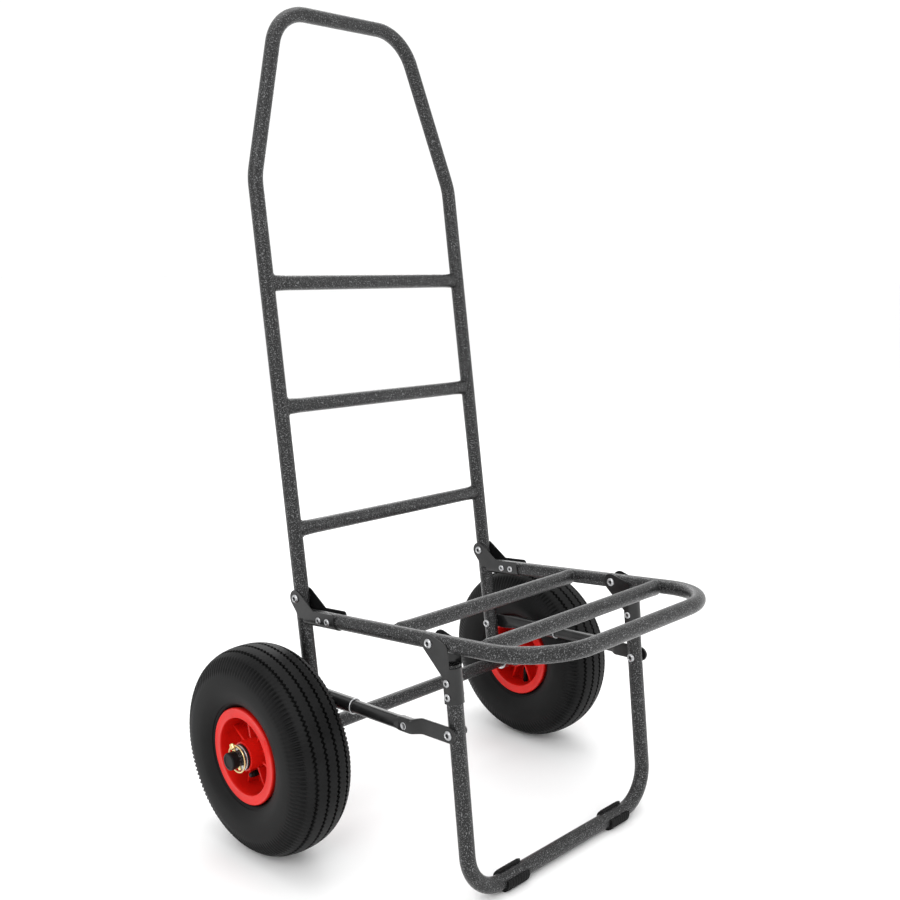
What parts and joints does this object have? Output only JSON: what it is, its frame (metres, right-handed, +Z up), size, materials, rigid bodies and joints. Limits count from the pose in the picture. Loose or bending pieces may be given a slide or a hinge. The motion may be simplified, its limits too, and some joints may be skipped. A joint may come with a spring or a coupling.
{
  "type": "convertible hand truck",
  "caption": "Folding tubular hand truck: leaning back frame on pneumatic wheels, with a fold-up platform carried by a hinged leg frame and telescopic stays.",
  "frame": {"origin": "on the ground, at the centre of the overall box of the truck standing with its platform down", "axes": "+X across the truck towards its right-hand wheel as seen by a person pushing it, +Y towards that person, +Z up; the platform reaches out to -Y"},
  "size_m": [0.6114, 0.5313, 1.043],
  "materials": {
    "frame_paint": "hammered dark grey paint",
    "bracket_paint": "smooth near-black paint",
    "zinc": "bright zinc plate",
    "yellow_zinc": "yellow zinc plate",
    "tyre": "black tyre rubber, matte",
    "inner_tube": "thin black rubber",
    "rim_red": "bright red, semi-gloss",
    "black_plastic": "moulded black",
    "foot_rubber": "ribbed black rubber"
  },
  "bodies": {
    "frame": {"back_frame_tube": "frame_paint", "rung_lower": "frame_paint", "rung_middle": "frame_paint", "rung_upper": "frame_paint", "axle_tube": "frame_paint", "axle_cap_left": "black_plastic", "axle_cap_right": "black_plastic", "axle_washer_left": "zinc", "axle_washer_right": "zinc", "linch_pin_left": "yellow_zinc", "linch_pin_right": "yellow_zinc", "wheel_spacer_left": "zinc", "wheel_spacer_right": "zinc", "stay_pivot_rivet_left": "zinc", "stay_pivot_rivet_right": "zinc"},
    "platform": {"platform_tube": "frame_paint", "crossbar_rear": "frame_paint", "crossbar_front": "frame_paint", "upright_bracket_left": "bracket_paint", "upright_bracket_right": "bracket_paint", "bracket_rivet_rear_left": "zinc", "bracket_rivet_rear_right": "zinc", "bracket_rivet_front_left": "zinc", "bracket_rivet_front_right": "zinc", "platform_pivot_rivet_left": "zinc", "platform_pivot_rivet_right": "zinc"},
    "leg_frame": {"leg_tube": "frame_paint", "leg_bracket_left": "bracket_paint", "leg_bracket_right": "bracket_paint", "leg_rivet_upper_left": "zinc", "leg_rivet_upper_right": "zinc", "leg_rivet_lower_left": "zinc", "leg_rivet_lower_right": "zinc", "leg_pivot_rivet_left": "zinc", "leg_pivot_rivet_right": "zinc", "rubber_foot_left": "foot_rubber", "rubber_foot_right": "foot_rubber", "stay_rivet_tail_left": "zinc", "stay_rivet_tail_right": "zinc"},
    "wheel_left": {"tyre_left": "tyre", "inner_tube_left": "inner_tube", "rim_left": "rim_red", "valve_left": "black_plastic", "hub_bush_inner_left": "black_plastic", "hub_bush_outer_left": "black_plastic"},
    "stay_outer_left": {"stay_outer_left": "bracket_paint"},
    "stay_inner_left": {"stay_inner_left": "bracket_paint", "stay_rivet_head_left": "zinc"},
    "linch_ring_left": {"linch_ring_left": "yellow_zinc"},
    "wheel_right": {"tyre_right": "tyre", "inner_tube_right": "inner_tube", "rim_right": "rim_red", "valve_right": "black_plastic", "hub_bush_inner_right": "black_plastic", "hub_bush_outer_right": "black_plastic"},
    "stay_outer_right": {"stay_outer_right": "bracket_paint"},
    "stay_inner_right": {"stay_inner_right": "bracket_paint", "stay_rivet_head_right": "zinc"},
    "linch_ring_right": {"linch_ring_right": "yellow_zinc"}
  },
  "joints": [
    {"name": "platform_fold", "type": "hinge", "parent": "frame", "child": "platform", "pos_m": [0, 0.1449, 0.30064], "axis": [-1, 0, 0], "range_deg": [0, 92.53]},
    {"name": "leg_fold", "type": "hinge", "parent": "platform", "child": "leg_frame", "pos_m": [0, -0.09569, 0.30326], "axis": [1, 0, 0], "range_deg": [0, 90.74]},
    {"name": "stay_swing_left", "type": "hinge", "parent": "frame", "child": "stay_outer_left", "pos_m": [-0.191, 0.12822, 0.1909], "axis": [-1, 0, 0], "range_deg": [0, 84.68]},
    {"name": "stay_slide_left", "type": "slide", "parent": "stay_outer_left", "child": "stay_inner_left", "axis": [0, -0.9982, 0.0592], "range_m": [-0.00555, 0]},
    {"name": "wheel_spin_left", "type": "hinge", "parent": "frame", "child": "wheel_left", "pos_m": [-0.249, 0.11897, 0.13], "axis": [1, 0, 0], "continuous": true},
    {"name": "ring_flip_left", "type": "hinge", "parent": "frame", "child": "linch_ring_left", "pos_m": [-0.2931, 0.12722, 0.14429], "axis": [0, 0.866, -0.5], "range_deg": [0, 110]},
    {"name": "stay_swing_right", "type": "hinge", "parent": "frame", "child": "stay_outer_right", "pos_m": [0.191, 0.12822, 0.1909], "axis": [-1, 0, 0], "range_deg": [0, 84.68]},
    {"name": "stay_slide_right", "type": "slide", "parent": "stay_outer_right", "child": "stay_inner_right", "axis": [0, -0.9982, 0.0592], "range_m": [-0.00555, 0]},
    {"name": "wheel_spin_right", "type": "hinge", "parent": "frame", "child": "wheel_right", "pos_m": [0.249, 0.11897, 0.13], "axis": [1, 0, 0], "continuous": true},
    {"name": "ring_flip_right", "type": "hinge", "parent": "frame", "child": "linch_ring_right", "pos_m": [0.2931, 0.12722, 0.14429], "axis": [0, -0.866, 0.5], "range_deg": [0, 110]}
  ],
  "couplings": [
    {"joint": "leg_fold", "follows": "platform_fold", "ratio": 0.98044},
    {"joint": "stay_swing_left", "follows": "platform_fold", "ratio": 0.91498},
    {"joint": "stay_slide_left", "follows": "platform_fold", "m_per_rad": -0.003424},
    {"joint": "stay_swing_right", "follows": "platform_fold", "ratio": 0.91498},
    {"joint": "stay_slide_right", "follows": "platform_fold", "m_per_rad": -0.003424}
  ]
}
